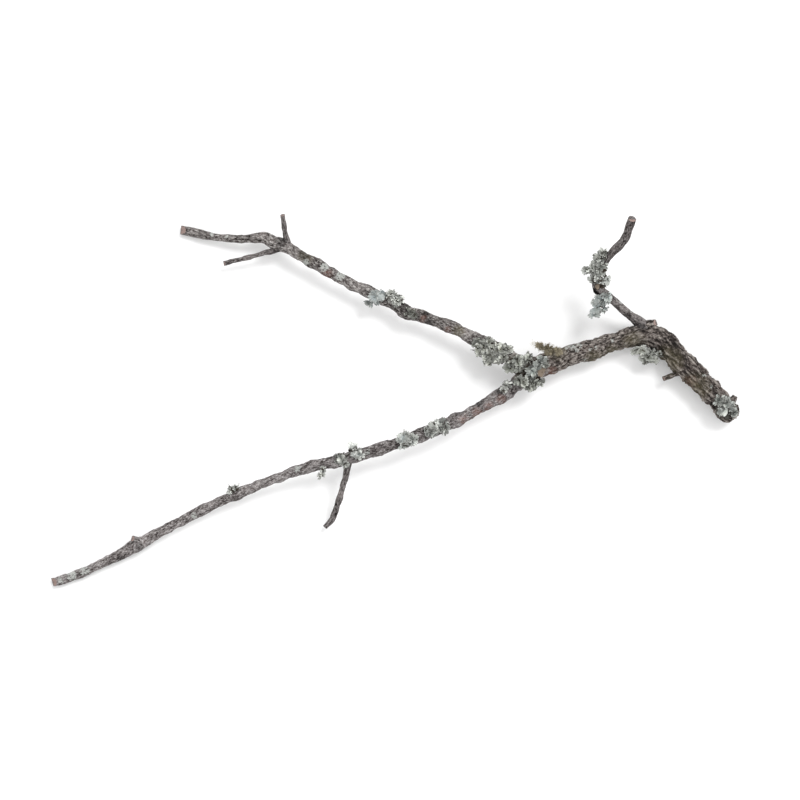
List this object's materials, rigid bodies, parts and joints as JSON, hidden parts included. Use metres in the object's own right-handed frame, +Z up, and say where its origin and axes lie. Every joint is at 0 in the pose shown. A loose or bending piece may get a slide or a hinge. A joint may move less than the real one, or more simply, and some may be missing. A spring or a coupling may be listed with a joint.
{
  "type": "fallen twig with lichen",
  "caption": "Fallen forked hardwood branch with a thick bent butt end, long thin arms, broken twigs and leafy lichens growing on its bark.",
  "frame": {"origin": "on the surface the branch lies on, under the middle of its outline as seen from above", "axes": "+X along its greatest length, towards the thick butt end; +Y towards the twig that rises from the elbow; +Z up"},
  "size_m": [0.519, 0.2794, 0.0722],
  "materials": {
    "weathered_bark": "matte",
    "foliose_lichen": "matte",
    "moss": "matte"
  },
  "bodies": {
    "root": {"main_stem": "weathered_bark", "upper_branch": "weathered_bark", "lower_branch": "weathered_bark", "elbow_twig": "weathered_bark", "upper_top_twig": "weathered_bark", "upper_side_twig": "weathered_bark", "lower_twig": "weathered_bark", "lichen_butt_rosette": "foliose_lichen", "lichen_elbow_hanging": "foliose_lichen", "lichen_twig_hanging": "foliose_lichen", "lichen_twig_kink": "foliose_lichen", "lichen_twig_upper": "foliose_lichen", "lichen_fork_left": "foliose_lichen", "lichen_fork_middle": "foliose_lichen", "lichen_fork_low": "foliose_lichen", "lichen_fork_upper": "foliose_lichen", "moss_tuft": "moss", "lichen_white_patch": "foliose_lichen", "lichen_upper_wrap": "foliose_lichen", "lichen_upper_curl": "foliose_lichen", "lichen_upper_bump": "foliose_lichen", "lichen_lower_patch_b": "foliose_lichen", "lichen_lower_patch_a": "foliose_lichen", "lichen_lower_star": "foliose_lichen", "lichen_lower_ruffle": "foliose_lichen", "lichen_lower_beard": "foliose_lichen", "lichen_lower_tuft": "foliose_lichen"}
  },
  "joints": []
}
